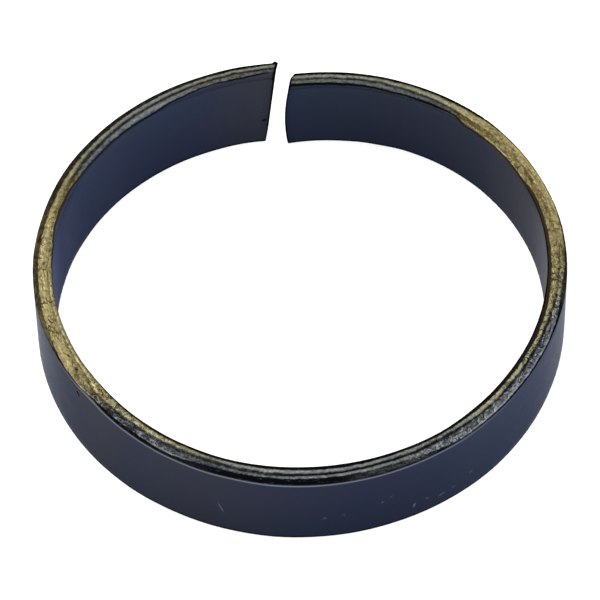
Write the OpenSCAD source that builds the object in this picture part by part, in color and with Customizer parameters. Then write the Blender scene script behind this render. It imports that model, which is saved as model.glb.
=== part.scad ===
// Open band ring: one flat strip of metal bent round until its two ends almost meet.
// It lies on its lower rim, with the front towards -Y and the split at the back.
// Seen from above, the bend is three arcs that run smoothly into each other. The main arc
// goes from the left end round the left side to the front. The front right quarter is
// sprung a little wider, and the last arc tucks the right end in behind the left one.
// Angles are in degrees and turn anticlockwise, seen from above.

/* [Strip] */
// Width of the strip, which is the height of the ring as it lies
band_w = 4; // [3:0.1:6]
// Thickness of the wall
wall_t = 0.82; // [0.7:0.02:1.2]

/* [Bend] */
// Inside radius of the main arc
main_r = 9.7; // [8:0.1:11.5]
// How much larger the inside radius of the front right quarter is
quarter_spring = 0.73; // [0:0.01:0.9]
// How much smaller than the main arc's the inside radius at the right end is
end_tuck = 0.88; // [0:0.01:1.2]

/* [Split] */
// Angle from the front to the left end, round the left side
left_turn = 173.5; // [168:0.1:176]
// Width of the split at half height
gap_w = 0.6; // [0.4:0.02:1.5]
// How far the left cut is turned from square across the strip
left_slant = 16; // [0:1:25]
// How far the right cut is turned from square across the strip
right_slant = 26; // [0:1:30]
// How far the left cut leans over the split at the top
left_lean = 6.5; // [0:0.5:8]
// How far the middle of the right cut stands out past its top and bottom
right_crown = 0.18; // [0.05:0.01:0.25]

/* [Edges] */
// Width across the rim of the worn outer edges
outer_edge_w = 0.1; // [0.05:0.01:0.2]
// Height on the wall of the worn outer edges
outer_edge_h = 0.2; // [0.1:0.01:0.4]
// Size of the small bevel on the inner edges
inner_edge = 0.1; // [0.05:0.01:0.15]
// Distance from the opening to the middle of the shallow groove in the upper rim
groove_at = 0.4; // [0.3:0.01:0.45]
// Width of the groove
groove_w = 0.14; // [0.06:0.01:0.2]
// Depth of the groove
groove_d = 0.035; // [0.01:0.005:0.08]

/* [Hidden] */
$fn = 240;

// Directions from an arc's centre
front = -90;
right = 0;
left_end = front - left_turn + 360;

quarter_r = main_r + quarter_spring;
end_r = main_r - end_tuck;
mid_wall = wall_t / 2;

function direction(angle) = [cos(angle), sin(angle)];
function bearing(point) = atan2(point[1], point[0]);
// The point of a circle that is seen in the given direction from [0, 0]
function along_ray(centre, r, angle) =
    let (u = direction(angle), reach = centre * u)
    (reach + sqrt(reach * reach - centre * centre + r * r)) * u;

// Arc centres, seen from above, with the main arc's at [0, 0]
quarter_centre = (main_r - quarter_r) * direction(front);
end_centre = quarter_centre + (quarter_r - end_r) * direction(right);

// The ends' middles: the right end stops the split's width short of the left end
gap_angle = gap_w / (main_r + mid_wall) * 180 / PI;
left_tip = (main_r + mid_wall) * direction(left_end);
right_tip = along_ray(end_centre, end_r + mid_wall, left_end - gap_angle);
right_end = bearing(right_tip - end_centre);

// The crown of the right cut is part of a cylinder that lies across the strip
crown_r = (band_w * band_w / 4 + right_crown * right_crown) / (2 * right_crown);
// The end arcs are drawn this many degrees too long, and then cut
spare = 5;
cutter = 8;

// Middle of the ring's outline, which becomes the origin
outside = main_r + wall_t;
x_mid = (end_centre[0] + end_r + wall_t - outside) / 2;
y_mid = (outside * sin(left_end) - outside) / 2;

// Section of the strip, drawn with the opening at x = 0 and the resting face at y = 0
module section() {
    polygon([
        [0, inner_edge],
        [inner_edge, 0],
        [wall_t - outer_edge_w, 0],
        [wall_t, outer_edge_h],
        [wall_t, band_w - outer_edge_h],
        [wall_t - outer_edge_w, band_w],
        [groove_at + groove_w / 2, band_w],
        [groove_at, band_w - groove_d],
        [groove_at - groove_w / 2, band_w],
        [inner_edge, band_w],
        [0, band_w - inner_edge]
    ]);
}

// One arc of the strip about its own centre
module bend(centre, r, from, turn) {
    translate([centre[0], centre[1], 0])
        rotate([0, 0, from])
            rotate_extrude(angle = turn)
                translate([r, 0])
                    section();
}

// Moves to half height at an end of the strip, with +X square to its cut and +Y outward
module at_cut(tip, angle, slant) {
    translate([tip[0], tip[1], band_w / 2])
        rotate([0, 0, angle - 90 - slant])
            children();
}

module main_arc() {
    difference() {
        // Drawn clockwise from the front, so that the joint with the quarter is square
        bend([0, 0], main_r, front, -left_turn - spare);
        at_cut(left_tip, left_end, left_slant)
            rotate([0, left_lean, 0])
                translate([0, -cutter / 2, -cutter / 2])
                    cube(cutter);
    }
}

module front_right_quarter() {
    bend(quarter_centre, quarter_r, front, right - front);
}

module tucked_end() {
    intersection() {
        bend(end_centre, end_r, right, right_end - right + spare);
        at_cut(right_tip, right_end, right_slant)
            translate([crown_r, 0, 0])
                rotate([90, 0, 0])
                    cylinder(r = crown_r, h = 4 * end_r, center = true);
    }
}

// The whole ring, one solid
module band() {
    color("#3a3f4d")
        translate([-x_mid, -y_mid, 0])
            union() {
                main_arc();
                front_right_quarter();
                tucked_end();
            }
}

band();
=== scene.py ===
import math
import random
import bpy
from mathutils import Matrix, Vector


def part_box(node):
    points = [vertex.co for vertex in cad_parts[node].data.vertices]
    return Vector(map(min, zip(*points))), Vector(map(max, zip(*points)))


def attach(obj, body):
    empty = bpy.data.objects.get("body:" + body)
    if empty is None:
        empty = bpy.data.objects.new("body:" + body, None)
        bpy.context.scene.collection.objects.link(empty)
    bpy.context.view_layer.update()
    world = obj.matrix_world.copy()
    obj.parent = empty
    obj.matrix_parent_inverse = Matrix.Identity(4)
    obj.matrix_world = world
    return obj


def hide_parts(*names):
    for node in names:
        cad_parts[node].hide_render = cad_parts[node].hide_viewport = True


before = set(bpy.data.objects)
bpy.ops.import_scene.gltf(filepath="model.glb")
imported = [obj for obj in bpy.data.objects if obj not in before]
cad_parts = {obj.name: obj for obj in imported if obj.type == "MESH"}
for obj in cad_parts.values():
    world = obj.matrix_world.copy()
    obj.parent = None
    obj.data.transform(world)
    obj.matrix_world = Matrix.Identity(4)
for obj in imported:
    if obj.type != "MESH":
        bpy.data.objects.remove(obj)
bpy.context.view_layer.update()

from types import SimpleNamespace

import bmesh
import bpy
from bpy.props import FloatProperty, FloatVectorProperty, IntProperty, PointerProperty
from mathutils import Matrix, Vector, noise

bl_info = {
    "name": "Open Band Ring",
    "version": (1, 0, 0),
    "blender": (4, 5, 0),
    "location": "3D View > Sidebar > Open Band Ring",
    "description": "Makes a flat strip of blackened brass bent into an open ring, with its worn rims",
    "category": "Object",
}

MM = 0.001
BAND_LOW, BAND_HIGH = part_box("band")
TINY = 1e-6
WHITE = (1.0, 1.0, 1.0)

TABLE_START = -180.0  # heading where the curves of the tables below begin, in degrees
TABLE_SPAN = 400.0  # degrees that those curves cover
COAT_LIGHT_MOST = 4.0  # highest number that a curve of COAT_TONE can hold

MEAN_RADIUS = 10.0  # turns a heading into a length along the strip in the finish, in millimetres
LINE_SOFT = 0.022  # softness of the lines on the rim, as a share of its width

# Points on each stretch of the strip's cross section, from the inner wall over the rim and round.
STEPS = {"inner_wall": 12, "inner_edge": 5, "rim": 20, "outer_edge": 6, "shoulder": 3, "outer_wall": 10,
         "outer_foot": 3, "underside": 6, "inner_foot": 3}
FEWEST_FACES = 1000  # with fewer, the band has come out empty
SHOULDER = 0.24  # height of the finely divided stretch under the worn outer edge, in millimetres

# The cuts' slants, in degrees of heading: from the inner to the outer wall, from the top down, and for
# the right cut the crown at half height and the round of its top outer corner.
LEFT_CUT = {"outward": 1.15, "down": 1.85}
RIGHT_CUT = {"outward": 1.7, "down": 0.55, "crown": 0.95, "corner": 0.9}
CORNER = 0.45  # size of that corner, as a share of the wall and in millimetres down
SLANT_FADE = 14.0  # degrees over which the stations turn from square to a cut's slant
SOLID_LEFT_END = 96.5  # direction of the solid's left end from the main arc's centre, in degrees

# The stations nearest a cut, counted from it, draw in to round its edges: by how much, and how far
# from the cut they stand, in millimetres.
DRAW_IN = {0: (0.028, 0.0), 1: (0.010, 0.009), 2: (0.0, 0.028), 3: (0.0, 0.09)}

# Middle of the bead at the top outer corner of the left cut: its way from the cut, in from the wall and
# down from the rim, as shares of its radius.
BEAD_AT = {"along": 0.78, "inward": 0.3, "down": 0.45}

# Relief of the strip, in millimetres, and its groove's waver and soft sides, as shares of the rim.
WALL_GRAIN = 0.004
RIM_GRAIN = 0.007
RIM_SUNK = 0.004
GROOVE_WAVER = 0.02
GROOVE_SOFT = 0.035

# Pits as (heading, across, radius, depth, stain), in degrees, share of the rim and millimetres, and the
# ranges from which the small ones are drawn.
LARGE_PITS = ((-57.84, 0.46, 0.11, 0.035, 1.0), (-57.2, 0.53, 0.07, 0.02, 0.9))
PIT_SEED = 19
PIT_HEADINGS = (-173, 193)
PIT_PLACES = (0.12, 0.95)
PIT_DEPTHS = (0.006, 0.022)
PIT_STAIN = 0.45

# The stage, in metres.
FLOOR_HALF = 1.5
FLOOR_DROP = 0.02 * MM  # how far the floor lies under the ring
LAMP_SIZE = 0.25
LAMP_AT = (-0.20, 0.15, 0.35)


def table(columns, *rows):
    """Rows of numbers as dicts by column name."""
    return [dict(zip(columns.split(), row)) for row in rows]


# How the rim is worn, and where light and shade are painted on it, by heading: 0 is the front of the
# ring, positive to the right, in degrees. Places across the rim run from 0 at the inner wall to 1 at the
# outer wall. rim_from is where bare metal begins, with a black line of width inner_line inside it. The
# ridge lies between rim_from and the groove, the shelf between the groove and dark_from, where the outer
# black band begins, with a rubbed lip inside it. The groove's darkness and the outer black band are
# painted shade, and the pale edge is a painted highlight on the outer wall just under the rim. Tones,
# brass, depths, the lip, the pale edge, pits and worms (pale wriggles, painted as glints beside dark
# knots) run from 0 to 1.
RIM_WEAR = table(
    "heading rim_from inner_line ridge ridge_brass groove_at groove_half groove_dark shelf shelf_brass"
    " dark_from dark_to dark_depth lip pale_edge pits worms",
    (-180, .36, 0, .24, .12, .55, .035, .6, .46, .1, .72, 1, 1, 0, 0, 0, 0),
    (-174, .36, 0, .22, .12, .55, .035, .5, .46, .13, .73, 1, 1, 0, 0, 0, 0),
    (-171, .36, .07, .24, .12, .55, .035, .6, .46, .13, .72, 1, 1, 0, 0, 0, 0),
    (-165, .28, .08, .2, .12, .54, .035, .6, .46, .14, .69, 1, 1, 0, 0, 0, 0),
    (-159, .3, .04, .22, .15, .535, .035, .7, .5, .14, .685, 1, .86, 0, 0, 0, 0),
    (-153, .25, .06, .28, .08, .505, .035, .7, .5, .13, .67, 1, .86, 0, 0, 0, 0),
    (-146, .18, .06, .38, .02, .47, .04, .75, .5, .11, .66, 1, .86, 0, 0, 0, 0),
    (-140, .13, .06, .4, 0, .46, .04, .65, .46, .12, .65, 1, .86, 0, 0, 0, 0),
    (-134, .15, .06, .32, 0, .45, .045, .75, .46, .14, .64, 1, .86, 0, 0, .1, 0),
    (-128, .16, .06, .26, 0, .43, .05, .75, .56, .16, .64, 1, .86, 0, 0, .2, 0),
    (-122, .155, .06, .24, 0, .42, .065, .65, .48, .22, .63, 1, .86, 0, 0, .3, 0),
    (-116, .17, .06, .16, .2, .38, .05, .3, .4, .36, .615, 1, .86, 0, 0, .5, 0),
    (-110, .27, .09, .03, .5, .36, .05, .2, .42, .66, .6, 1, .88, 0, 0, .7, 0),
    (-104, .28, .1, .1, .75, .36, .04, .1, .44, .88, .6, 1, .88, 0, 0, .8, 0),
    (-98, .22, .07, .16, .85, .33, .03, .05, .54, 1, .6, 1, .8, 0, 0, .9, 0),
    (-92, .125, .07, .34, .95, .27, .025, .1, .5, 1, .605, 1.05, .8, 0, 0, .9, 0),
    (-86, .09, .06, .42, .95, .24, .02, .2, .48, 1, .615, 1.09, .85, 0, 0, .9, 0),
    (-78, .075, .04, .5, .85, .24, .02, .25, .44, 1, .645, 1.02, .85, 0, 0, .9, 0),
    (-70, .06, .02, .52, .8, .25, .02, .25, .44, 1, .69, .93, .6, 0, .1, .9, 0),
    (-62, .055, 0, .4, .8, .265, .02, .3, .42, 1, .77, .9, 1, 0, .5, .9, 0),
    (-57, .1, 0, .36, .8, .3, .025, .35, .38, .9, .79, .86, .6, .2, .6, .9, .2),
    (-54, .1, 0, .3, .8, .34, .03, .3, .34, .8, .81, .84, .8, .2, .7, .8, .4),
    (-50, .13, .05, .26, .75, .49, .03, .2, .1, .5, .73, .79, .9, .1, .9, .7, .85),
    (-45, .16, .08, .4, .5, .455, .035, .35, .04, .15, .705, .825, 1, 0, .9, .5, .75),
    (-38, .2, .13, .46, .42, .445, .045, .7, .1, 0, .715, .865, 1, 0, .9, .3, .65),
    (-31, .225, .14, .46, .38, .435, .045, .6, .08, 0, .755, .905, 1, .15, .8, .2, .55),
    (-26, .225, .13, .3, .3, .425, .045, .6, .08, 0, .775, .925, .9, .3, .8, .2, .3),
    (-20, .23, .13, .28, .2, .42, .05, .6, .12, 0, .66, .93, .9, 0, .8, .1, .1),
    (-14, .23, .14, .32, .1, .42, .06, .6, .16, 0, .64, .915, 1, 0, .8, .1, .2),
    (-8, .25, .17, .44, .08, .455, .06, .75, .3, 0, .655, .945, 1, 0, .8, 0, .3),
    (-2, .265, .2, .5, .08, .48, .06, .85, .42, 0, .67, .98, 1, 0, .9, 0, .4),
    (4, .27, .22, .52, .05, .47, .045, .95, .5, 0, .675, .985, 1, 0, .9, 0, .4),
    (10, .275, .23, .54, .02, .465, .045, .95, .5, 0, .65, .975, 1, 0, .8, 0, .2),
    (16, .27, .23, .54, .03, .445, .045, .95, .48, .03, .65, .96, .6, 0, .8, 0, .1),
    (22, .255, .22, .54, .03, .43, .045, .95, .4, .05, .64, .94, .5, 0, .8, 0, .2),
    (28, .235, .19, .5, .08, .425, .05, .9, .32, .05, .72, .91, .45, 0, .8, .1, .4),
    (34, .235, .19, .44, .08, .395, .06, .85, .26, 0, .76, .875, 1, 0, .8, .1, .7),
    (40, .24, .17, .66, .12, .415, .045, .85, .26, 0, .83, .9, .7, .2, .6, .1, .8),
    (46, .26, .19, .92, .22, .465, .04, .8, .3, 0, .81, .9, .9, .45, .4, .1, .8),
    (58, .275, .2, .98, .32, .465, .045, .8, .2, 0, .785, .88, 1, .35, .2, .3, .9),
    (70, .28, .21, .86, .48, .46, .05, .8, .18, 0, .77, .85, 1, .25, .1, .4, .9),
    (76, .285, .33, .64, .7, .475, .045, .7, .18, .1, .75, .88, 1, .1, 0, .6, .9),
    (82, .26, .36, .6, .95, .5, .05, .5, .26, .3, .68, 1, .8, 0, 0, .7, .9),
    (88, .24, .28, .58, 1, .52, .035, .5, .3, .5, .73, 1, .9, 0, 0, .8, .8),
    (94, .225, .25, .54, 1, .53, .04, .3, .28, .75, .745, 1, .9, 0, 0, .9, .5),
    (100, .235, .18, .38, 1, .5, .03, 0, .42, .9, .76, 1, .8, .1, 0, .9, .2),
    (106, .23, .16, .22, 1, .5, .03, 0, .42, 1, .775, 1, .85, .2, 0, .8, 0),
    (112, .26, .17, .18, 1, .45, .03, 0, .4, 1, .78, 1, .85, .7, 0, .8, 0),
    (118, .16, .1, .26, 1, .48, .03, 0, .38, 1, .78, 1, .85, .6, 0, .8, 0),
    (124, .15, .08, .22, 1, .48, .03, 0, .42, 1, .775, 1, .85, .5, 0, .8, 0),
    (130, .145, .05, .26, 1, .45, .03, 0, .36, 1, .77, 1, .9, .4, 0, .7, 0),
    (138, .07, .08, .08, .9, .42, .04, 0, .42, .9, .74, 1, 1, .1, 0, .5, 0),
    (142, .065, .08, .1, .7, .38, .03, .2, .48, .75, .7, 1, 1, 0, 0, .4, 0),
    (147, .255, .08, .14, .3, .43, .03, .5, .5, .5, .7, 1, 1, 0, 0, .2, 0),
    (154, .25, .11, .2, .04, .46, .04, .5, .52, .26, .705, 1, 1, 0, 0, 0, 0),
    (160, .235, .09, .24, .06, .48, .04, .55, .48, .22, .71, 1, 1, 0, 0, 0, 0),
    (166, .22, .08, .26, .07, .505, .04, .5, .46, .18, .7, 1, 1, 0, 0, 0, 0),
    (173, .275, .1, .26, .09, .525, .04, .6, .44, .16, .7, 1, 1, 0, 0, 0, 0),
    (179, .285, .13, .3, .1, .515, .035, .6, .48, .14, .69, 1, 1, 0, 0, 0, 0),
    (185, .285, .13, .32, .1, .51, .035, .6, .48, .13, .69, 1, 1, 0, 0, 0, 0),
    (191, .305, .13, .3, .1, .52, .035, .6, .42, .13, .7, 1, 1, 0, 0, 0, 0),
    (198, .31, .13, .3, .1, .52, .035, .6, .42, .13, .7, 1, 1, 0, 0, 0, 0),
)

# How far the hand-rolled strip strays outward from its three arcs, at its top and its bottom edge, in
# millimetres.
DRIFT = table(
    "heading top bottom",
    (-180, .09, .02),
    (-168, .035, .02),
    (-155, -.01, -.02),
    (-140, -.01, -.03),
    (-128, 0, -.02),
    (-116, .04, -.01),
    (-104, .03, .02),
    (-90, .06, .06),
    (-78, .04, .05),
    (-64, -.01, .05),
    (-50, -.06, .05),
    (-38, -.04, .04),
    (-26, -.01, .02),
    (-14, .03, .03),
    (0, .04, .06),
    (14, .05, .07),
    (24, .06, .06),
    (34, .08, .06),
    (46, .03, .07),
    (58, .01, .05),
    (75, .02, .03),
    (100, .01, 0),
    (116, -.01, .02),
    (128, .01, .05),
    (140, .04, .07),
    (150, .02, .07),
    (160, .01, .06),
    (170, .02, 0),
    (180, .03, -.03),
    (198, .06, -.05),
)

# How the coat varies by heading on the outer and the inner wall: light is its brightness against the
# front of the ring, painted reflection of the grazing sheen on the walls; grey is how far it leaves blue,
# matte how far it loses its satin shine.
COAT_TONE = table(
    "heading outer_light outer_grey inner_light inner_grey inner_matte",
    (-180, 1.1, .3, 1.12, .6, 0),
    (-166, 1.1, .3, 1.16, .45, 0),
    (-148, 1.1, .3, 1.33, .1, 0),
    (-136, 1.1, .3, 1.45, .18, 0),
    (-124, 1.1, .4, 1.7, .25, 0),
    (-112, 1.1, .6, 1.7, .18, .1),
    (-104, 1.1, .8, 1.9, .05, .6),
    (-98, 1.1, .9, 2.35, 0, .8),
    (-90, 1.1, .9, 3.15, 0, .8),
    (-80, 1, .9, 3.4, .05, .8),
    (-60, 1.22, 1, 1.3, .2, .2),
    (-48, 1.42, 1, 1.2, .2, 0),
    (-36, 1.36, .7, 1.2, .2, 0),
    (-18, 1.2, .6, 1.2, .2, 0),
    (0, 1.18, .3, 1.2, .2, 0),
    (12, 1.19, .18, 1.2, .2, 0),
    (30, 1.39, .28, 1.2, .2, 0),
    (48, 1.85, .4, 1.1, .4, 0),
    (62, 2, .4, 1, .7, .2),
    (85, 1.6, .3, 1.62, 1, .5),
    (98, 1.4, .3, 2.08, 1, .5),
    (110, 1.1, .3, 1.52, 1, .5),
    (120, 1.1, .3, 1.33, 1, .4),
    (130, 1.1, .3, 1.24, .9, .2),
    (140, 1.1, .3, 1.13, .65, 0),
    (156, 1.1, .3, 1.04, .45, 0),
    (172, 1.1, .3, .98, .3, 0),
    (198, 1.1, .3, 1.08, .15, 0),
)

# Marks on the walls: heading in degrees, height and half sizes in millimetres, turn in degrees from the
# level, strength from 0 to 1. The scratch, the chip and the specks are outside, the blot inside.
MARK_COLUMNS = "heading height half_length half_width turn strength"
SCRATCH, CHIP, BLOT = table(
    MARK_COLUMNS,
    (-14.2, 1.55, .3, .03, -68, .22),
    (-53.8, 3.45, .14, .07, -50, 1),
    (-171.45, 1.4, .12, .075, -20, .85),
)
SPECKS = table(
    MARK_COLUMNS,
    (8.1, 1.38, .07, .05, 20, .144),
    (12, 1.46, .1, .03, 80, .08),
    (20, 1.82, .06, .04, 50, .208),
    (22, 2.05, .12, .03, 55, .112),
    (27.3, .84, .14, .04, 75, .32),
    (30.2, .96, .09, .03, -10, .176),
    (33.6, .74, .15, .05, 10, .208),
    (36.5, .82, .09, .05, 0, .144),
    (41.2, 1.12, .07, .05, 10, .208),
)


def worn(column, heading, rows=RIM_WEAR, eased=False):
    """A table's value of a column at a heading, straight between rows or eased."""
    before = rows[0]
    for after in rows[1:]:
        if heading <= after["heading"]:
            share = max(0.0, (heading - before["heading"]) / (after["heading"] - before["heading"]))
            if eased:
                share = share * share * (3 - 2 * share)
            return before[column] + (after[column] - before[column]) * share
        before = after
    return before[column]


def paint(code):
    """Linear red, green and blue of a six-digit screen colour."""
    parts = [int(code[i:i + 2], 16) / 255 for i in (0, 2, 4)]
    return tuple(c / 12.92 if c <= 0.04045 else ((c + 0.055) / 1.055) ** 2.4 for c in parts)


def length(name, description, millimetres):
    """A size property in metres, given in millimetres."""
    return FloatProperty(name=name, description=description, default=millimetres * MM, unit="LENGTH",
                         subtype="DISTANCE", precision=5)


def angle(name, description, degrees):
    """An angle property, given in degrees."""
    return FloatProperty(name=name, description=description, default=math.radians(degrees),
                         subtype="ANGLE", unit="ROTATION")


def amount(name, description, default, lowest=0.0, unit="NONE"):
    """A plain number property."""
    return FloatProperty(name=name, description=description, default=default, min=lowest, unit=unit)


def whole(name, description, default, lowest=0):
    """A whole number property."""
    return IntProperty(name=name, description=description, default=default, min=lowest)


def colour(name, description, code):
    """A colour property, given as a six-digit screen colour."""
    return FloatVectorProperty(name=name, description=description, default=paint(code), size=3,
                               subtype="COLOR", min=0.0, max=1.0)


class BandSizes(bpy.types.PropertyGroup):
    """Sizes of the bent strip."""

    height: length("Band height", "Height of the strip on its side", (BAND_HIGH[2] - BAND_LOW[2]) / MM)
    wall: length("Wall", "Thickness of the strip", 0.82)
    main_radius: length("Main radius", "Inside radius of the left and front arc", 9.7)
    quarter_spring: length("Quarter spring", "Extra radius of the front right quarter", 0.73)
    end_tuck: length("End tuck", "How much tighter than the main arc the right end is rolled", 0.88)
    left_turn: angle("Left end", "Heading of the left cut at the top of its inner edge", 173.7)
    right_turn: angle("Right end", "Heading of the right cut at the top of its inner edge", 193.6)
    lean_front: angle("Lean at the front", "Outward lean of the strip's top at the front", 0.18)
    lean_half_turn: angle("Lean over half a turn", "Change of the lean, front to back right", -3.73)
    inner_edge: length("Inner edge", "Width of the worn inner edge", 0.137)
    outer_edge_in: length("Outer edge inward", "Width of the worn outer edge across the rim", 0.035)
    outer_edge_down: length("Outer edge down", "Height of the worn outer edge down the wall", 0.2)
    bottom_edge: length("Bottom edges", "Rounding of the two bottom edges", 0.09)
    bead: length("Bead", "Radius of the bead at the top outer corner of the left cut", 0.125)
    groove_depth: length("Groove depth", "Depth of the rolled groove in the rim", 0.04)
    stations: whole("Stations", "Cross sections along the strip", 1360, lowest=200)
    pit_count: whole("Pits", "Pits tried along the rim", 1500)


class FinishColours(bpy.types.PropertyGroup):
    """Colours of the blackened coat and of the bare metal on the rims."""

    coat: colour("Coat", "Blue-black of the coat", "23283b")
    coat_grey: colour("Coat, grey", "Grey of the coat where it is dull", "343334")
    coat_teal: colour("Coat, teal", "Greener clouds in the coat", "212c3b")
    grazing: colour("Grazing light", "Tint of what the walls mirror at a low angle", "b4b8c5")
    coat_plum: colour("Coat, plum", "Redder clouds in the coat", "27263a")
    # Black is soot on the cuts, the knots and the inner line, and painted shade in the groove, on the outer
    # band and along the foot.
    black: colour("Black", "Soot in grooves, edges and cuts", "08090a")
    brass_light: colour("Brass, light", "Rubbed brass", "b9ad7e")
    brass_dark: colour("Brass, dark", "Dull brass", "5a4f2e")
    brass_pit: colour("Brass, pits", "Dirt in the pits", "2f2817")
    # Slate, light is also the colour of the painted highlight along the top of the outer wall.
    slate_light: colour("Slate, light", "Rubbed grey metal", "8e9293")
    olive_light: colour("Olive, light", "Rubbed metal between grey and brass", "94967d")
    slate_dark: colour("Slate, dark", "Grey tarnish", "24282e")
    # Pale is the colour of the painted glints beside the knots, and of the rubbed lip.
    pale: colour("Pale", "Bright rubbed spots", "c6ccd0")
    speck_blue: colour("Specks", "Faint blue marks on the coat", "8890b4")


class StudioSettings(bpy.types.PropertyGroup):
    """Camera, floor and light."""

    elevation: angle("Camera elevation", "Height of the camera above the floor", 54.18)
    roll: angle("Camera roll", "Turn of the camera about its own axis", 1.83)
    distance: length("Camera distance", "From the point that the camera looks at", 213.6)
    look_x: length("Look at X", "Point on the floor that the camera looks at", -0.050)
    look_y: length("Look at Y", "Point on the floor that the camera looks at", 1.300)
    lens: amount("Lens", "Focal length for a 36 mm sensor, in millimetres", 308.04, lowest=10.0)
    floor: colour("Floor", "Plain pale floor", "c4c4c4")
    floor_glow: amount("Floor glow", "Light that comes up through the floor, as on a light table", 0.74)
    sky: amount("Sky strength", "Strength of the even light from all round", 1.12)
    key: amount("Key light", "Power of the large soft light", 0.9, unit="POWER")


# Where the scene keeps each group of settings.
GROUPS = {"ring_band": BandSizes, "ring_finish": FinishColours, "ring_studio": StudioSettings}


class Signal:
    """An output of a node. Sums and products of signals add the math nodes that work them out."""

    def __init__(self, net, socket):
        self.net = net
        self.socket = socket

    def __add__(self, other):
        return self.net.math("ADD", self, other)

    def __sub__(self, other):
        return self.net.math("SUBTRACT", self, other)

    def __rsub__(self, other):
        return self.net.math("SUBTRACT", other, self)

    def __mul__(self, other):
        return self.net.math("MULTIPLY", self, other)

    def __truediv__(self, other):
        return self.net.math("DIVIDE", self, other)

    def __abs__(self):
        return self.net.math("ABSOLUTE", self)

    __radd__ = __add__
    __rmul__ = __mul__


class Net:
    """Adds nodes to a tree and joins them."""

    def __init__(self, tree):
        self.tree = tree

    def node(self, kind, settings=None, inputs=None):
        """A node with its settings. Its inputs, by name or index, take signals or plain values."""
        made = self.tree.nodes.new(kind)
        for name, value in (settings or {}).items():
            setattr(made, name, value)
        for key, value in (inputs or {}).items():
            self.feed(made.inputs[key], value)
        return made

    def get(self, kind, settings=None, inputs=None, output=0):
        """An output of a new node, as a signal."""
        return Signal(self, self.node(kind, settings, inputs).outputs[output])

    def feed(self, socket, value):
        """Joins a signal to a socket, or sets the socket to a plain value or an opaque colour."""
        if isinstance(value, Signal):
            self.tree.links.new(value.socket, socket)
        elif socket.type == "RGBA":
            socket.default_value = (*value, 1.0)
        else:
            socket.default_value = value

    def math(self, operation, first, second=0.0, clamp=False):
        """One step of sums with two numbers."""
        settings = {"operation": operation, "use_clamp": clamp}
        return self.get("ShaderNodeMath", settings, {0: first, 1: second})

    def most(self, highest, *others):
        """The highest of some numbers."""
        for number in others:
            highest = self.math("MAXIMUM", highest, number)
        return highest

    def clip(self, number):
        """A number held between 0 and 1."""
        return self.math("MULTIPLY", number, 1.0, clamp=True)

    def scale(self, vector, factor):
        """A place or a colour times a number."""
        return self.get("ShaderNodeVectorMath", {"operation": "SCALE"}, {0: vector, "Scale": factor})

    def place(self, x, y, z):
        """A place from its three numbers."""
        return self.get("ShaderNodeCombineXYZ", None, {0: x, 1: y, 2: z})

    def more(self, value, edge, soft):
        """0 well below the edge and 1 well above it, with a soft step between."""
        return self.stretch(value, edge - soft, edge + soft, "SMOOTHSTEP")

    def between(self, value, low, high, soft):
        """1 between two edges and 0 outside them."""
        return self.more(value, low, soft) * (1 - self.more(value, high, soft))

    def hill(self, value, low, high):
        """A rounded hill that is 0 at both edges and 1 in the middle."""
        share = self.math("DIVIDE", value - low, self.most(high - low, 0.01), clamp=True)
        return 4 * (share * (1 - share))

    def stretch(self, value, low, high, steps="LINEAR"):
        """Brings a value from the range low to high onto 0 to 1, and clips it."""
        return self.get("ShaderNodeMapRange", {"interpolation_type": steps, "clamp": True}, {
            "Value": value, "From Min": low, "From Max": high})

    def blend(self, share, first, second):
        """A colour on the way from the first to the second."""
        made = self.node("ShaderNodeMix", {"data_type": "RGBA", "clamp_factor": True})
        colour_in = [s for s in made.inputs if s.type == "RGBA"]
        self.feed(made.inputs[0], share)
        self.feed(colour_in[0], first)
        self.feed(colour_in[1], second)
        return Signal(self, next(s for s in made.outputs if s.type == "RGBA"))

    def cloud(self, place, scale, detail=2.0, roughness=0.5, distortion=0.0):
        """Noise from 0 to 1 at a place."""
        return self.get("ShaderNodeTexNoise", None, {
            "Vector": place, "Scale": scale, "Detail": detail, "Roughness": roughness,
            "Distortion": distortion})


def mix(share, first, second):
    """A number on the way from the first to the second."""
    return first * (1 - share) + second * share


def curves(net, rows, share, highest=1.0):
    """Each column of a table as a curve that reads the heading's share of the tables' span."""
    found = SimpleNamespace()
    for column in list(rows[0])[1:]:
        made = net.node("ShaderNodeFloatCurve", {"label": column}, {"Value": share})
        points = made.mapping.curves[0].points
        spots = [((row["heading"] - TABLE_START) / TABLE_SPAN, row[column] / highest) for row in rows]
        points[0].location, points[1].location = spots[0], spots[-1]
        for spot in spots[1:-1]:
            points.new(*spot)
        for point in points:
            point.handle_type = "AUTO_CLAMPED"
        made.mapping.update()
        value = Signal(net, made.outputs[0])
        setattr(found, column, value if highest == 1.0 else value * highest)
    return found


def mark(net, along, up, row):
    """A soft spindle-shaped mark on a wall: its strength at its middle and 0 outside it."""
    aside = along - row["heading"] * math.radians(MEAN_RADIUS)
    above = up - row["height"]
    cos, sin = math.cos(math.radians(row["turn"])), math.sin(math.radians(row["turn"]))
    lengthwise = (aside * cos + above * sin) * (1 / row["half_length"])
    crosswise = (above * cos - aside * sin) * (1 / row["half_width"])
    reach = lengthwise * lengthwise + crosswise * crosswise
    return (1 - net.more(reach, 1.0, 0.6)) * row["strength"]


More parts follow.
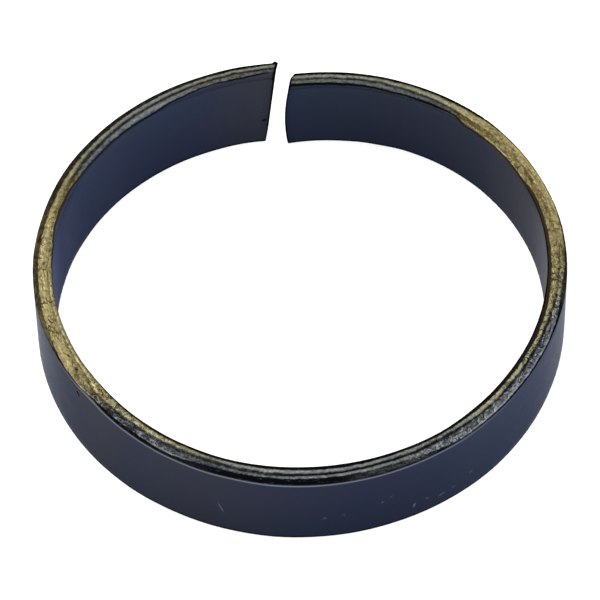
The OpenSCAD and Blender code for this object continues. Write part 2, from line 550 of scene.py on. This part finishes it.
def read_surface(net):
    """What the finish knows of a point: its place on the strip, its wear and painted light, and its grain.
    """
    at = SimpleNamespace()
    for name in ("heading", "across", "up", "pit", "cut", "end"):
        setattr(at, name, net.get("ShaderNodeAttribute", {"attribute_name": name}, output="Fac"))
    at.place = net.scale(net.get("ShaderNodeTexCoord", output="Object"), 1 / MM)
    at.along = at.heading * math.radians(MEAN_RADIUS)
    at.rim_place = net.place(at.along * 0.45, at.across * 1.1, at.up)
    at.upper = net.more(at.up, 2.0, 0.5)
    at.outside = net.more(at.across, 0.5, 0.1)
    share = net.math("DIVIDE", at.heading - TABLE_START, TABLE_SPAN, clamp=True)
    at.wear = curves(net, RIM_WEAR, share)
    at.tone = curves(net, COAT_TONE, share, COAT_LIGHT_MOST)
    at.coarse = net.cloud(at.place, 2.2, 3.0)
    at.spots = net.cloud(at.place, 7.5, 2.5, 0.6)
    at.fine = net.cloud(at.place, 19.0, 2.0, 0.6)
    at.streaks = net.cloud(at.rim_place, 6.0, 3.0, 0.6)
    return at


def find_rim_zones(net, at):
    """Adds the rim's wavering place across, its groove's edges, its bare part and its shelf."""
    line_place = net.place(at.along, 0.0, at.up * 0.4)
    slow = (net.cloud(line_place, 1.3, 1.0) - 0.5) * 0.06
    quick = (net.cloud(line_place, 5.5, 1.0) - 0.5) * 0.05
    at.waver = at.across + (slow + quick)
    at.groove_in = at.wear.groove_at - at.wear.groove_half
    at.groove_out = at.wear.groove_at + at.wear.groove_half
    in_reach = 1 - net.more(at.across, at.wear.dark_to, LINE_SOFT)
    at.bare = net.more(at.waver, at.wear.rim_from, LINE_SOFT) * in_reach * at.upper
    at.on_shelf = net.more(at.waver, at.wear.groove_at, LINE_SOFT)


def rubbed_patch(net, at, paints, tone, brass, low, high):
    """Bare metal between two edges, with a painted highlight along its middle, and how golden it is."""
    golden = brass + (at.coarse - 0.5) * 2.4 * (brass * (1 - brass))
    golden = net.clip((golden - 0.15) * (1 / 0.85))
    # Painted highlight: crown lightens the middle of the patch, where its rounded top would catch the
    # light.
    crown = net.hill(at.waver, low, high) * (1 - golden * 0.7)
    light = tone * (0.22 + golden * 0.44 + 0.85 * crown)

    # Grey metal without wriggles is the smoothest.
    lively = at.wear.worms * 6 + (brass * 2 + (at.wear.pits - 0.3))
    grain = (at.spots - 0.5) * 0.9 + (at.streaks - 0.5) * 1.1
    light = net.clip(light + grain * (0.7 + net.clip(lively) * 0.3))

    olive = net.stretch(brass, 0.0, 0.25)
    dark_grey = net.blend(olive, paints.slate_dark, paints.brass_pit)
    pale_grey = net.blend(olive, paints.slate_light, paints.olive_light)
    grey = net.blend(light, dark_grey, pale_grey)
    gold = net.blend(light, paints.brass_dark, paints.brass_light)
    return net.blend(golden, grey, gold), golden


def rubbed_rim(net, at, paints):
    """The bare metal of the ridge and the shelf. Adds how golden the rim is."""
    wear = at.wear
    ridge, ridge_gold = rubbed_patch(net, at, paints, wear.ridge, wear.ridge_brass,
                                     wear.rim_from, at.groove_in)
    shelf, shelf_gold = rubbed_patch(net, at, paints, wear.shelf, wear.shelf_brass,
                                     at.groove_out, wear.dark_from)
    at.gold = mix(at.on_shelf, ridge_gold, shelf_gold)
    return net.blend(at.on_shelf, ridge, shelf)


def with_knots(net, at, paints, rim):
    """The rim with knots of soot and painted glints of rubbed metal beside them. Adds the soot and the
    colour of rubbed metal and its glints.
    """
    wear = at.wear
    knot_place = net.place(at.along * 0.9, at.across * 0.95, at.up)
    knots = net.cloud(knot_place, 4.1, 1.0, 0.5, 1.4)
    # Painted highlight: glints beside the knots, pale on grey metal and brassy on brass.
    glint = 1 - net.stretch(abs(knots - 0.60), 0.0, 0.055)
    glint = glint * wear.worms * (0.47 - wear.pits * 0.27)
    warm = net.most(at.gold, (1 - at.on_shelf) * 0.5)
    at.rubbed = net.blend(warm, paints.pale, paints.brass_light)
    rim = net.blend(glint, rim, at.rubbed)
    on_ridge = (1 - at.on_shelf) * net.stretch(wear.ridge_brass, -0.1, 0.4)
    ink = 1 - net.stretch(abs(knots - 0.49), 0.02, 0.07)
    at.ink = ink * wear.worms * (at.on_shelf * 0.78 + on_ridge)
    return net.blend(at.ink, rim, paints.black)


def with_dirt(net, at, paints, rim):
    """The rim with dirt in its brass, in thin wriggling lines and small spots, and its pits."""
    wriggle = net.cloud(at.rim_place, 3.2, 1.5, 0.5, 0.9)
    vein = 1 - net.stretch(abs(wriggle - 0.5), 0.012, 0.05)
    vein = vein * net.stretch(at.coarse, 0.36, 0.54)
    dirt = net.most(vein * 0.95, net.stretch(at.spots, 0.38, 0.30) * 0.3)
    at.dirt = net.most(dirt * (at.wear.pits * at.gold), at.pit)
    return net.blend(at.dirt, rim, paints.brass_pit)


def with_soot(net, at, paints, rim):
    """The rim with the painted shade of its groove and of its black outer band, and its rubbed lip. Adds
    where the soot and the painted shade lie.
    """
    wear = at.wear
    # Painted shade: black in the rim's groove.
    groove = net.between(at.waver, at.groove_in, at.groove_out, LINE_SOFT) * wear.groove_dark
    rim = net.blend(groove, rim, paints.black)
    lip = net.between(at.waver, wear.dark_from - 0.065, wear.dark_from, LINE_SOFT) * wear.lip
    rim = net.blend(lip * 0.6, rim, at.rubbed)
    # Painted shade: the black band and its outline on the rounded outer edge of the rim.
    band = net.between(at.waver, wear.dark_from, wear.dark_to, LINE_SOFT) * wear.dark_depth
    outline_from = net.most(wear.dark_from, wear.dark_to - 0.075)
    outline = net.between(at.waver, outline_from, wear.dark_to, LINE_SOFT)
    at.band = net.most(band, outline * 0.93)
    at.soot = net.most(at.band, groove, net.most(at.ink, at.dirt) * 0.7)
    stroke = net.stretch(net.cloud(at.rim_place, 9.0, 2.0), 0.60, 0.68) * 0.30
    return net.blend(at.band * (1 - stroke), rim, paints.black)


def coat_colour(net, at, paints):
    """The blue-black coat with slow clouds, greyer by heading, lightened by heading with painted reflection
    and darkened towards the foot with painted shade. Adds how dull it is.
    """
    tone = at.tone
    at.dulled = tone.inner_matte * (1 - at.outside)
    clouds = net.stretch(net.cloud(at.place, 0.16, 1.0), 0.42, 0.62)
    coat = net.blend(clouds * 0.5, paints.coat, paints.coat_teal)
    plum = net.stretch(net.cloud(at.place, 0.23, 1.0), 0.50, 0.68)
    coat = net.blend(plum * (0.5 - at.dulled * 0.5), coat, paints.coat_plum)
    coat = net.blend(mix(at.outside, tone.inner_grey, tone.outer_grey), coat, paints.coat_grey)
    coat = net.blend(net.stretch(at.fine, 0.3, 0.7) * 0.12, coat, paints.black)
    # Painted shade: the coat is darker towards the foot of the walls, except where the inner wall's coat is
    # dull.
    sink = 1 - 0.22 * (1 - at.up * 0.25) * (1 - at.dulled)
    # Painted reflection: the coat is brightened by heading where the walls catch a grazing sheen.
    return net.scale(coat, mix(at.outside, tone.inner_light, tone.outer_light) * sink)


def with_marks(net, at, paints, coat):
    """The coat with its specks, scratch, chip and blot. Adds where the dark marks lie."""
    specks = net.stretch(net.cloud(at.place, 3.1, 4.0, 0.75), 0.70, 0.78)
    coat = net.blend(specks * 0.18, coat, paints.speck_blue)
    coat = net.blend(mark(net, at.along, at.up, SCRATCH) * at.outside, coat, paints.speck_blue)
    chip = mark(net, at.along, at.up, CHIP) * at.outside
    blot = mark(net, at.along, at.up, BLOT) * (1 - at.outside)
    at.dark_marks = net.most(chip, blot)
    coat = net.blend(at.dark_marks, coat, paints.black)
    along_bent = at.along + (at.spots - 0.5) * 0.20
    up_bent = at.up + (at.fine - 0.5) * 0.25
    for row in SPECKS:
        speck = mark(net, along_bent, up_bent, row) * at.outside
        coat = net.blend(speck, coat, paints.speck_blue)
    return coat


def with_edges(net, at, paints, coat, rim):
    """The rim laid on the coat, with a painted highlight on the outer edge, the black inner line, the dark
    cuts and painted shade along the foot.
    """
    wear = at.wear
    edge_from = wear.dark_to + 0.045
    # Painted highlight: a pale line on the outer wall just under the rim, in the grey of rubbed metal.
    pale_edge = net.between(at.across, edge_from, edge_from + 0.07, 0.028) * wear.pale_edge * at.upper
    skin = net.blend(pale_edge * 0.55, coat, paints.slate_light)
    skin = net.blend(at.bare, skin, rim)

    at.inner_line = net.between(at.waver, wear.rim_from - wear.inner_line, wear.rim_from, LINE_SOFT)
    at.inner_line = at.inner_line * net.more(wear.inner_line, 0.02, 0.02) * at.upper
    brown = wear.pits * 0.95 * net.more(at.waver, wear.rim_from - 0.12, 0.03)
    skin = net.blend(at.inner_line, skin, net.blend(brown, paints.black, paints.brass_pit))

    near_cut = (1 - net.stretch(at.end, 0.0, 0.4)) * 0.2
    skin = net.blend(near_cut, skin, paints.black)
    # Painted shade: a black line along the foot of the walls, where they meet the floor.
    foot = 1 - net.more(at.up, 0.15, 0.06)
    wide = net.most(net.more(at.heading, 0.0, 1.0), net.more(at.up, 3.85, 0.05))
    # This joins that painted shade at the foot with the burnt black along the cuts' edges.
    at.burnt = net.most(foot * 0.9, 1 - net.more(at.end, 0.03 + wide * 0.045, 0.02))
    skin = net.blend(at.burnt, skin, paints.black)
    saw_lines = net.stretch(at.streaks, 0.4, 0.7) * 0.2
    return net.blend(at.cut, skin, net.blend(saw_lines, paints.black, paints.slate_dark))


def blackened_brass(paints):
    """The one finish of the ring: a satin blue-black coat, rubbed through to brass and grey on the rims,
    with painted highlights and painted shade.
    """
    metal = bpy.data.materials.new("blackened_brass")
    metal.use_nodes = True
    net = Net(metal.node_tree)
    shader = metal.node_tree.nodes["Principled BSDF"].inputs
    at = read_surface(net)
    find_rim_zones(net, at)
    rim = rubbed_rim(net, at, paints)
    for layer in (with_knots, with_dirt, with_soot):
        rim = layer(net, at, paints, rim)
    coat = with_marks(net, at, paints, coat_colour(net, at, paints))
    net.feed(shader["Base Color"], with_edges(net, at, paints, coat, rim))

    # Soot and painted shade have no shine, and part of the inner wall's coat has lost its own.
    soot = net.most(at.soot * at.bare, at.inner_line, at.burnt, at.dark_marks)
    net.feed(shader["Metallic"], 1 - net.most(soot * 0.9, at.dulled * (1 - at.bare)))
    net.feed(shader["Specular IOR Level"], 0.0)
    net.feed(shader["Specular Tint"], paints.grazing)
    rough_coat = 0.36 + (at.coarse - 0.5) * 0.10
    rough_bare = 0.40 + (at.spots - 0.5) * 0.35
    rough_black = net.most(at.burnt, at.cut) * 0.35
    net.feed(shader["Roughness"], mix(at.bare, rough_coat, rough_bare) + rough_black)

    relief = mix(at.bare, at.fine * 0.12, at.spots * 0.6 + at.fine * 0.4)
    relief = relief - net.most(at.dirt, at.band) * (at.bare * 0.5)
    net.feed(shader["Normal"], net.get("ShaderNodeBump", None, {
        "Strength": 0.5, "Distance": 0.03 * MM, "Height": relief}))
    return metal


def arc(centre, radii, start, end, steps):
    """Points on a quarter of an ellipse after its start, up to its end. Turns in degrees."""
    for i in range(1, steps + 1):
        turn = math.radians(start + (end - start) * i / steps)
        yield centre[0] + radii[0] * math.cos(turn), centre[1] + radii[1] * math.sin(turn)


def run(first, last, steps):
    """Points on a straight line after its first, up to its last."""
    for i in range(1, steps + 1):
        yield tuple(a + (b - a) * i / steps for a, b in zip(first, last))


def in_millimetres(sizes):
    """The band's sizes with lengths in millimetres and headings in degrees."""
    band = SimpleNamespace(stations=sizes.stations, pit_count=sizes.pit_count)
    for name in ("height", "wall", "main_radius", "inner_edge", "outer_edge_in", "outer_edge_down",
                 "bottom_edge", "bead", "groove_depth"):
        setattr(band, name, getattr(sizes, name) / MM)
    band.first, band.last = -math.degrees(sizes.left_turn), math.degrees(sizes.right_turn)
    band.step = (band.last - band.first) / (band.stations - 1)
    band.per_degree = math.radians(band.main_radius)
    return band


def section(band):
    """The strip's cross section as a closed loop of (out, up), from the inner wall over the rim."""
    height, wall, inner, low = band.height, band.wall, band.inner_edge, band.bottom_edge
    out, down = band.outer_edge_in, band.outer_edge_down
    shoulder = height - down - SHOULDER
    stretches = [
        run((0, low), (0, height - inner), STEPS["inner_wall"]),
        arc((inner, height - inner), (inner, inner), 180, 90, STEPS["inner_edge"]),
        run((inner, height), (wall - out, height), STEPS["rim"]),
        arc((wall - out, height - down), (out, down), 90, 0, STEPS["outer_edge"]),
        run((wall, height - down), (wall, shoulder), STEPS["shoulder"]),
        run((wall, shoulder), (wall, low), STEPS["outer_wall"]),
        arc((wall - low, low), (low, low), 0, -90, STEPS["outer_foot"]),
        run((wall - low, 0), (low, 0), STEPS["underside"]),
        arc((low, low), (low, low), -90, -180, STEPS["inner_foot"]),
    ]
    return [point for stretch in stretches for point in stretch]


def across_places(loop, band):
    """Each section point's place across the nearer rim: 0 at the inner wall, 1 at the outer wall."""
    travelled, path = 0.0, []
    for before, after in zip([loop[-1]] + loop[:-1], loop):
        travelled += math.dist(before, after)
        path.append(travelled)
    rim_low = band.height - band.inner_edge - TINY
    rim_start = next(p for p, (out, up) in zip(path, loop) if up > rim_low)
    edge_low = band.height - band.outer_edge_down - TINY
    rim_end = max(p for p, (out, up) in zip(path, loop) if up > edge_low)
    places = []
    for p, (out, up) in zip(path, loop):
        if up > band.height / 2:
            places.append((p - rim_start) / (rim_end - rim_start))
        elif up >= band.bottom_edge:
            beyond = (up - band.bottom_edge) / (rim_end - rim_start)
            places.append(-beyond if out < band.wall / 2 else 1 + beyond)
        else:
            places.append(out / band.wall)
    return places


def section_normals(loop):
    """Outward direction at each point of the section."""
    normals = []
    for before, after in zip([loop[-1]] + loop[:-1], loop[1:] + [loop[0]]):
        along = Vector((after[0] - before[0], after[1] - before[1])).normalized()
        normals.append((-along[1], along[0]))
    return normals


def off_the_bead(spot, middle, radius):
    """A point moved straight out of a round bead to its skin."""
    aside = spot - middle
    if aside.length < TINY or aside.length >= radius:
        return spot
    return middle + aside * (radius / aside.length)


def end_headings(out, up, band):
    """Where the strip ends for a point of its section: headings of the left and right cuts, in degrees."""
    outward, below = out / band.wall, 1 - up / band.height
    left = band.first - LEFT_CUT["outward"] * outward + LEFT_CUT["down"] * below
    crown = 1 - (2 * up / band.height - 1) ** 2
    right = band.last - RIGHT_CUT["outward"] * outward - RIGHT_CUT["down"] * below
    right += RIGHT_CUT["crown"] * crown
    corner = max(0.0, 1 - (1 - outward) / CORNER) * max(0.0, 1 - (band.height - up) / CORNER)
    return left, right - RIGHT_CUT["corner"] * corner ** 1.5


def pits_on_rims(band):
    """Pits as (heading, across, radius, depth, stain) in degrees, share of the rim and millimetres."""
    dice = random.Random(PIT_SEED)
    pits = list(LARGE_PITS)
    for _ in range(band.pit_count):
        heading, place = dice.uniform(*PIT_HEADINGS), dice.uniform(*PIT_PLACES)
        radius, depth = 0.025 + 0.055 * dice.random() ** 2, dice.uniform(*PIT_DEPTHS)
        keep = dice.random()
        gold = worn("ridge_brass" if place < worn("groove_at", heading) else "shelf_brass", heading)
        if keep < worn("pits", heading) * (0.25 + 0.75 * gold):
            pits.append((heading, place, radius, depth, PIT_STAIN))

    # A scratch across the left rim, as a row of pits.
    for step in range(8):
        pits.append((-90.62 + 0.02 * step, 0.90 - 0.055 * step, 0.05, 0.03, 1.0))
    return pits


def pit_maps(band, loop, places):
    """Depth and stain of the pits, by station and point of the section."""
    rim_length = band.inner_edge * math.pi / 2 + band.wall - band.inner_edge + band.outer_edge_down
    depths, stains = {}, {}
    for heading, place, radius, depth, stain in pits_on_rims(band):
        middle = round((heading - band.first) / band.step)
        reach = int(radius / (band.per_degree * band.step)) + 2
        first, last = len(DRAW_IN), band.stations - len(DRAW_IN)
        for i in range(max(first, middle - reach), min(last, middle + reach + 1)):
            aside = (band.first + i * band.step - heading) * band.per_degree
            for j, spot in enumerate(places):
                if loop[j][1] < band.height * 0.8 or not 0.05 < spot < 1:
                    continue
                near = 1 - math.hypot(aside, (spot - place) * rim_length) / radius
                if near > 0:
                    bowl = near * (2 - near)
                    depths[i, j] = max(depths.get((i, j), 0), depth * bowl)
                    stains[i, j] = max(stains.get((i, j), 0), stain * min(1.0, bowl * 1.3))
    return depths, stains


def rim_lift(band, heading, spot, at):
    """How far the rim stands up or down at a place across it, for its groove and its worn grain."""
    run_along = heading * band.per_degree
    waver = spot + GROOVE_WAVER * noise.noise(Vector((run_along * 1.5, 3.0, 0.0)))
    off = (waver - at["groove_at"]) / (at["groove_half"] + GROOVE_SOFT)
    groove = band.groove_depth * (0.15 + at["groove_dark"]) * math.exp(-off * off)
    small = noise.noise(Vector((run_along * 5.0, spot * 5.0, 8.0)))
    return RIM_GRAIN * small * (0.4 + at["pits"]) - RIM_SUNK - groove


def bead_middle(band):
    """Middle of the bead of metal at the top outer corner of the left cut, on the flat strip."""
    along = end_headings(band.wall, band.height, band)[0] * band.per_degree
    out = band.wall + worn("top", band.first, DRIFT, eased=True)
    return Vector((along + BEAD_AT["along"] * band.bead, out - BEAD_AT["inward"] * band.bead,
                   band.height - BEAD_AT["down"] * band.bead))


def strip_points(band, loop, places, pit_depths):
    """Points of the flat strip in metres, station by station, and each one's heading and way to a cut."""
    normals = section_normals(loop)
    ends = [end_headings(out, up, band) for out, up in loop]
    bead_at = bead_middle(band)
    points, headings, to_cut = [], [], []
    for i in range(band.stations):
        base = band.first + i * band.step
        at = {name: worn(name, base) for name in ("groove_at", "groove_half", "groove_dark", "pits")}
        drift = {name: worn(name, base, DRIFT, eased=True) for name in ("top", "bottom")}
        inset, from_cut = DRAW_IN.get(min(i, band.stations - 1 - i), (0.0, None))
        on_left = i < band.stations / 2
        near_left = max(0.0, 1 - (base - band.first) / SLANT_FADE) ** 2
        near_right = max(0.0, 1 - (band.last - base) / SLANT_FADE) ** 2
        for j, (out, up) in enumerate(loop):
            left, right = ends[j]
            heading = base + (left - band.first) * near_left + (right - band.last) * near_right
            if from_cut is not None:
                shift = from_cut / band.per_degree
                heading = left + shift if on_left else right - shift
            lift = WALL_GRAIN * noise.noise(Vector((heading * band.per_degree * 0.8, out * 2.0, up * 1.2)))
            if -0.02 < places[j] < 1.02:
                lift += rim_lift(band, heading, places[j], at) - pit_depths.get((i, j), 0.0)
            lift -= inset
            stray = mix(up / band.height, drift["bottom"], drift["top"])
            out_now, up_now = out + stray + normals[j][0] * lift, up + normals[j][1] * lift
            spot = Vector((heading * band.per_degree, out_now, min(max(up_now, 0.0), band.height)))
            if on_left:
                spot = off_the_bead(spot, bead_at, band.bead)
            points.append(spot * MM)
            headings.append(heading)
            to_cut.append(max(0.0, min(heading - left, right - heading) * band.per_degree))
    return points, headings, to_cut


def cut_faces(count):
    """Faces that close a cut, as places in the section: rungs between the walls and a face for each rim."""
    outer_low = count - STEPS["outer_foot"] - STEPS["underside"] - STEPS["inner_foot"] - 1
    rungs = [(k, outer_low - k) for k in range(STEPS["outer_wall"] + 1)]
    made = [(a, b, d, c) for (a, b), (c, d) in zip(rungs, rungs[1:])]
    top_inner, top_outer = rungs[-1]
    return made + [range(top_inner, top_outer + 1), [*range(outer_low, count), 0]]


def flat_strip(sizes):
    """The strip before it is bent: X runs along it, Y outward through the wall, Z up. It carries the
    heading, the place across the rim, the height, the pits, the way to a cut and the cuts' faces."""
    band = in_millimetres(sizes)
    loop = section(band)
    places = across_places(loop, band)
    count, last_station = len(loop), band.stations - 1
    pit_depths, pit_stains = pit_maps(band, loop, places)
    points, headings, to_cut = strip_points(band, loop, places, pit_depths)
    faces = [(i * count + j, i * count + k, (i + 1) * count + k, (i + 1) * count + j)
             for i in range(last_station) for j, k in zip(range(count), [*range(1, count), 0])]
    side_faces = len(faces)
    for station, way_round in ((0, -1), (last_station, 1)):
        faces += [[station * count + k for k in face][::way_round] for face in cut_faces(count)]

    mesh = bpy.data.meshes.new("flat_strip")
    mesh.from_pydata(points, [], faces)
    stains = [pit_stains.get((i, j), 0.0) for i in range(band.stations) for j in range(count)]
    values = {"heading": headings, "across": places * band.stations, "pit": stains, "end": to_cut,
              "up": [up for out, up in loop] * band.stations}
    for name, numbers in values.items():
        mesh.attributes.new(name, "FLOAT", "POINT").data.foreach_set("value", numbers)
    cut = [0.0] * side_faces + [1.0] * (len(faces) - side_faces)
    mesh.attributes.new("cut", "FLOAT", "FACE").data.foreach_set("value", cut)
    return mesh


def face_outward(mesh):
    """Turns every face of a closed mesh outward, and stops if the mesh is open."""
    shell = bmesh.new()
    shell.from_mesh(mesh)
    bmesh.ops.remove_doubles(shell, verts=shell.verts, dist=1e-8)
    bmesh.ops.recalc_face_normals(shell, faces=shell.faces)
    if shell.calc_volume(signed=True) < 0:
        bmesh.ops.reverse_faces(shell, faces=shell.faces)
    open_edges = sum(1 for edge in shell.edges if not edge.is_manifold)
    shell.to_mesh(mesh)
    shell.free()
    if open_edges:
        raise RuntimeError(f"the strip has {open_edges} open edges")


def bend_tree():
    """Node tree that bends a flat strip into the ring: three arcs that meet at the front and at the right,
    with a lean that grows along the strip."""
    tree = bpy.data.node_groups.new("bend_strip_into_ring", "GeometryNodeTree")
    face = tree.interface
    face.new_socket("Geometry", in_out="INPUT", socket_type="NodeSocketGeometry")
    for name in ("Main Radius", "Quarter Spring", "End Tuck", "Middle X", "Middle Y", "Band Height",
                 "Lean Front", "Lean Half Turn"):
        face.new_socket(name, in_out="INPUT", socket_type="NodeSocketFloat")
    face.new_socket("Metal", in_out="INPUT", socket_type="NodeSocketMaterial")
    face.new_socket("Geometry", in_out="OUTPUT", socket_type="NodeSocketGeometry")
    net = Net(tree)
    given = {socket.name: Signal(net, socket) for socket in net.node("NodeGroupInput").outputs}
    position = net.get("GeometryNodeInputPosition")
    parts = net.node("ShaderNodeSeparateXYZ", None, {0: position}).outputs
    along, out, up = [Signal(net, socket) for socket in parts]

    turn = along / given["Main Radius"]
    past_front = net.math("GREATER_THAN", turn, 0.0)
    past_side = net.math("GREATER_THAN", turn, math.pi / 2)
    spring_out = given["Quarter Spring"] * past_front
    step_in = (given["Quarter Spring"] + given["End Tuck"]) * past_side
    lean = given["Lean Front"] + given["Lean Half Turn"] * (turn / math.pi)
    above = up - given["Band Height"] * 0.5
    radius = given["Main Radius"] + spring_out - step_in + out + above * net.math("TANGENT", lean)
    x = step_in + radius * net.math("SINE", turn)
    y = spring_out - radius * net.math("COSINE", turn)
    bent = net.place(x - given["Middle X"], y - given["Middle Y"], up)

    placed = net.get("GeometryNodeSetPosition", None, {"Geometry": given["Geometry"], "Position": bent})
    real = net.get("GeometryNodeRealizeInstances", None, {0: placed})
    dressed = net.get("GeometryNodeSetMaterial", None, {"Geometry": real, "Material": given["Metal"]})
    net.node("NodeGroupOutput", None, {0: dressed})
    return tree


def through_nodes(mesh, tree, values, name):
    """Runs a mesh through a node tree and returns a plain object with the result."""
    source = bpy.data.objects.new("strip_source", mesh)
    bpy.context.scene.collection.objects.link(source)
    bend = source.modifiers.new("bend", "NODES")
    bend.node_group = tree
    for item in tree.interface.items_tree:
        if item.item_type == "SOCKET" and item.in_out == "INPUT" and item.name in values:
            bend[item.identifier] = values[item.name]
    graph = bpy.context.evaluated_depsgraph_get()
    made = bpy.data.meshes.new_from_object(source.evaluated_get(graph))
    source.modifiers.remove(bend)
    bpy.data.objects.remove(source)
    bpy.data.meshes.remove(mesh)
    made.name = name
    piece = bpy.data.objects.new(name, made)
    bpy.context.scene.collection.objects.link(piece)
    return piece


class RING_OT_band(bpy.types.Operator):
    """Makes the band: a flat strip with worn rims, bent into the open ring"""

    bl_idname = "open_ring.make_band"
    bl_label = "Make the band"
    bl_options = {"REGISTER", "UNDO"}

    def execute(self, context):
        sizes, paints = context.scene.ring_band, context.scene.ring_finish
        outside = sizes.main_radius + sizes.wall
        back = outside * math.sin(math.radians(SOLID_LEFT_END))
        values = {
            "Main Radius": sizes.main_radius, "Quarter Spring": sizes.quarter_spring,
            "End Tuck": sizes.end_tuck, "Middle X": sizes.quarter_spring / 2,
            "Middle Y": (back - outside) / 2, "Band Height": sizes.height,
            "Lean Front": sizes.lean_front, "Lean Half Turn": sizes.lean_half_turn,
            "Metal": blackened_brass(paints),
        }
        piece = through_nodes(flat_strip(sizes), bend_tree(), values, "open_band")
        face_outward(piece.data)
        for polygon in piece.data.polygons:
            polygon.use_smooth = True
        if len(piece.data.polygons) < FEWEST_FACES:
            raise RuntimeError("the band came out empty")
        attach(piece, "root")
        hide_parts("band")
        return {"FINISHED"}


def pale_paper(studio):
    """The floor's finish: matt and pale, with a faint tooth, and lit a little from below."""
    paper = bpy.data.materials.new("pale_paper")
    paper.use_nodes = True
    net = Net(paper.node_tree)
    shader = paper.node_tree.nodes["Principled BSDF"].inputs
    tooth = net.cloud(net.get("ShaderNodeTexCoord", output="Object"), 900.0, 2.0)
    net.feed(shader["Base Color"], net.blend(tooth * 0.02, studio.floor, WHITE))
    net.feed(shader["Roughness"], 0.9)
    net.feed(shader["Emission Color"], WHITE)
    net.feed(shader["Emission Strength"], studio.floor_glow)
    return paper


class RING_OT_stage(bpy.types.Operator):
    """Makes the plain pale floor and the soft light"""

    bl_idname = "open_ring.make_stage"
    bl_label = "Make the stage"
    bl_options = {"REGISTER", "UNDO"}

    def execute(self, context):
        studio = context.scene.ring_studio
        corners = [(x * FLOOR_HALF, y * FLOOR_HALF, -FLOOR_DROP)
                   for x, y in ((-1, -1), (1, -1), (1, 1), (-1, 1))]
        mesh = bpy.data.meshes.new("studio_floor")
        mesh.from_pydata(corners, [], [(0, 1, 2, 3)])
        floor = bpy.data.objects.new("studio_floor", mesh)
        context.scene.collection.objects.link(floor)
        mesh.materials.append(pale_paper(studio))

        world = bpy.data.worlds.new("studio_light")
        world.use_nodes = True
        sky = world.node_tree.nodes["Background"]
        sky.inputs["Color"].default_value = (*WHITE, 1.0)
        sky.inputs["Strength"].default_value = studio.sky
        context.scene.world = world

        lamp = bpy.data.lights.new("key_light", "AREA")
        lamp.shape, lamp.size, lamp.energy = "DISK", LAMP_SIZE, studio.key
        key = bpy.data.objects.new("key_light", lamp)
        key.location = LAMP_AT
        key.rotation_euler = (-key.location).to_track_quat("-Z", "Y").to_euler()
        context.scene.collection.objects.link(key)
        context.scene.view_settings.view_transform = "Standard"
        return {"FINISHED"}


class RING_OT_camera(bpy.types.Operator):
    """Places the camera at the photograph's angle"""

    bl_idname = "open_ring.make_camera"
    bl_label = "Place the camera"
    bl_options = {"REGISTER", "UNDO"}

    def execute(self, context):
        studio = context.scene.ring_studio
        data = bpy.data.cameras.new("ring_camera")
        data.sensor_width, data.lens = 36.0, studio.lens
        data.clip_start, data.clip_end = 0.01, 50.0
        camera = bpy.data.objects.new("ring_camera", data)
        context.scene.collection.objects.link(camera)
        back = Vector((0, -math.cos(studio.elevation), math.sin(studio.elevation)))
        level = Vector((1, 0, 0))
        upright = back.cross(level)
        right = math.cos(studio.roll) * level + math.sin(studio.roll) * upright
        top = math.cos(studio.roll) * upright - math.sin(studio.roll) * level
        place = Vector((studio.look_x, studio.look_y, 0)) + back * studio.distance
        camera.matrix_world = Matrix.Translation(place) @ Matrix((right, top, back)).transposed().to_4x4()
        context.scene.camera = camera
        return {"FINISHED"}


class RING_PT_panel(bpy.types.Panel):
    """Lists the pieces in the sidebar"""

    bl_idname = "RING_PT_panel"
    bl_label = "Open Band Ring"
    bl_space_type = "VIEW_3D"
    bl_region_type = "UI"
    bl_category = "Open Band Ring"

    def draw(self, context):
        for owner, group in GROUPS.items():
            box = self.layout.box()
            for name in group.__annotations__:
                box.prop(getattr(context.scene, owner), name)
        for operator in OPERATORS:
            self.layout.operator(operator.bl_idname)


OPERATORS = (RING_OT_band, RING_OT_stage, RING_OT_camera)
CLASSES = (*GROUPS.values(), *OPERATORS, RING_PT_panel)


def register():
    for cls in CLASSES:
        bpy.utils.register_class(cls)
    for owner, group in GROUPS.items():
        setattr(bpy.types.Scene, owner, PointerProperty(type=group))


def unregister():
    for owner in GROUPS:
        delattr(bpy.types.Scene, owner)
    for cls in reversed(CLASSES):
        bpy.utils.unregister_class(cls)


def main():
    """Makes every piece in order."""
    register()
    bpy.ops.open_ring.make_camera()
    bpy.ops.open_ring.make_band()
    bpy.ops.open_ring.make_stage()


if __name__ == "__main__":
    main()
